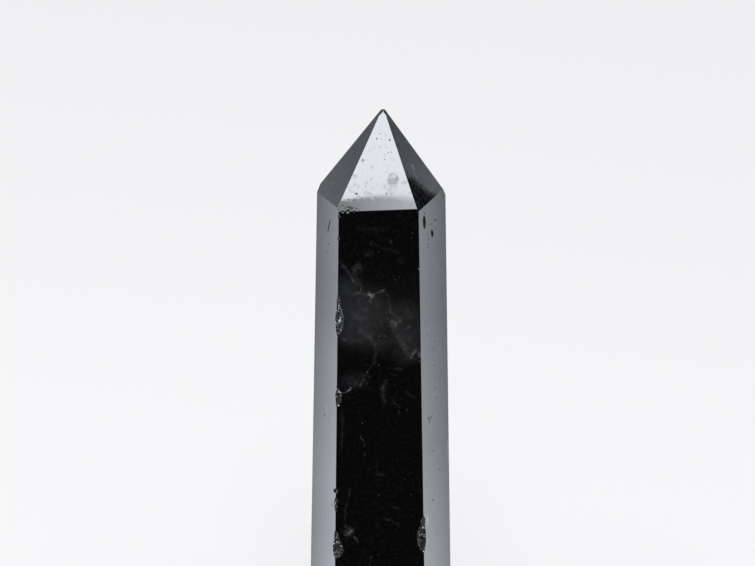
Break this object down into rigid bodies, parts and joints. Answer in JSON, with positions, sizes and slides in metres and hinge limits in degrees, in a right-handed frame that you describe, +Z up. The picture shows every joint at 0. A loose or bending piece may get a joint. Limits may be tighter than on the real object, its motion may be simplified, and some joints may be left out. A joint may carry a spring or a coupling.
{
  "type": "morion quartz point",
  "caption": "Polished six-sided black quartz crystal point with a six-faced pointed tip, shell-shaped edge chips and a flat cut base.",
  "frame": {"origin": "middle of the footprint, on the cut base", "axes": "+Z up from the cut base to the tip; -Y out of the broad front face; +X to the right as seen from the front"},
  "size_m": [0.02, 0.017, 0.0816],
  "materials": {
    "quartz": "hand-polished near-black quartz with a glassy surface"
  },
  "bodies": {
    "root": {"quartz_point": "quartz"}
  },
  "joints": []
}
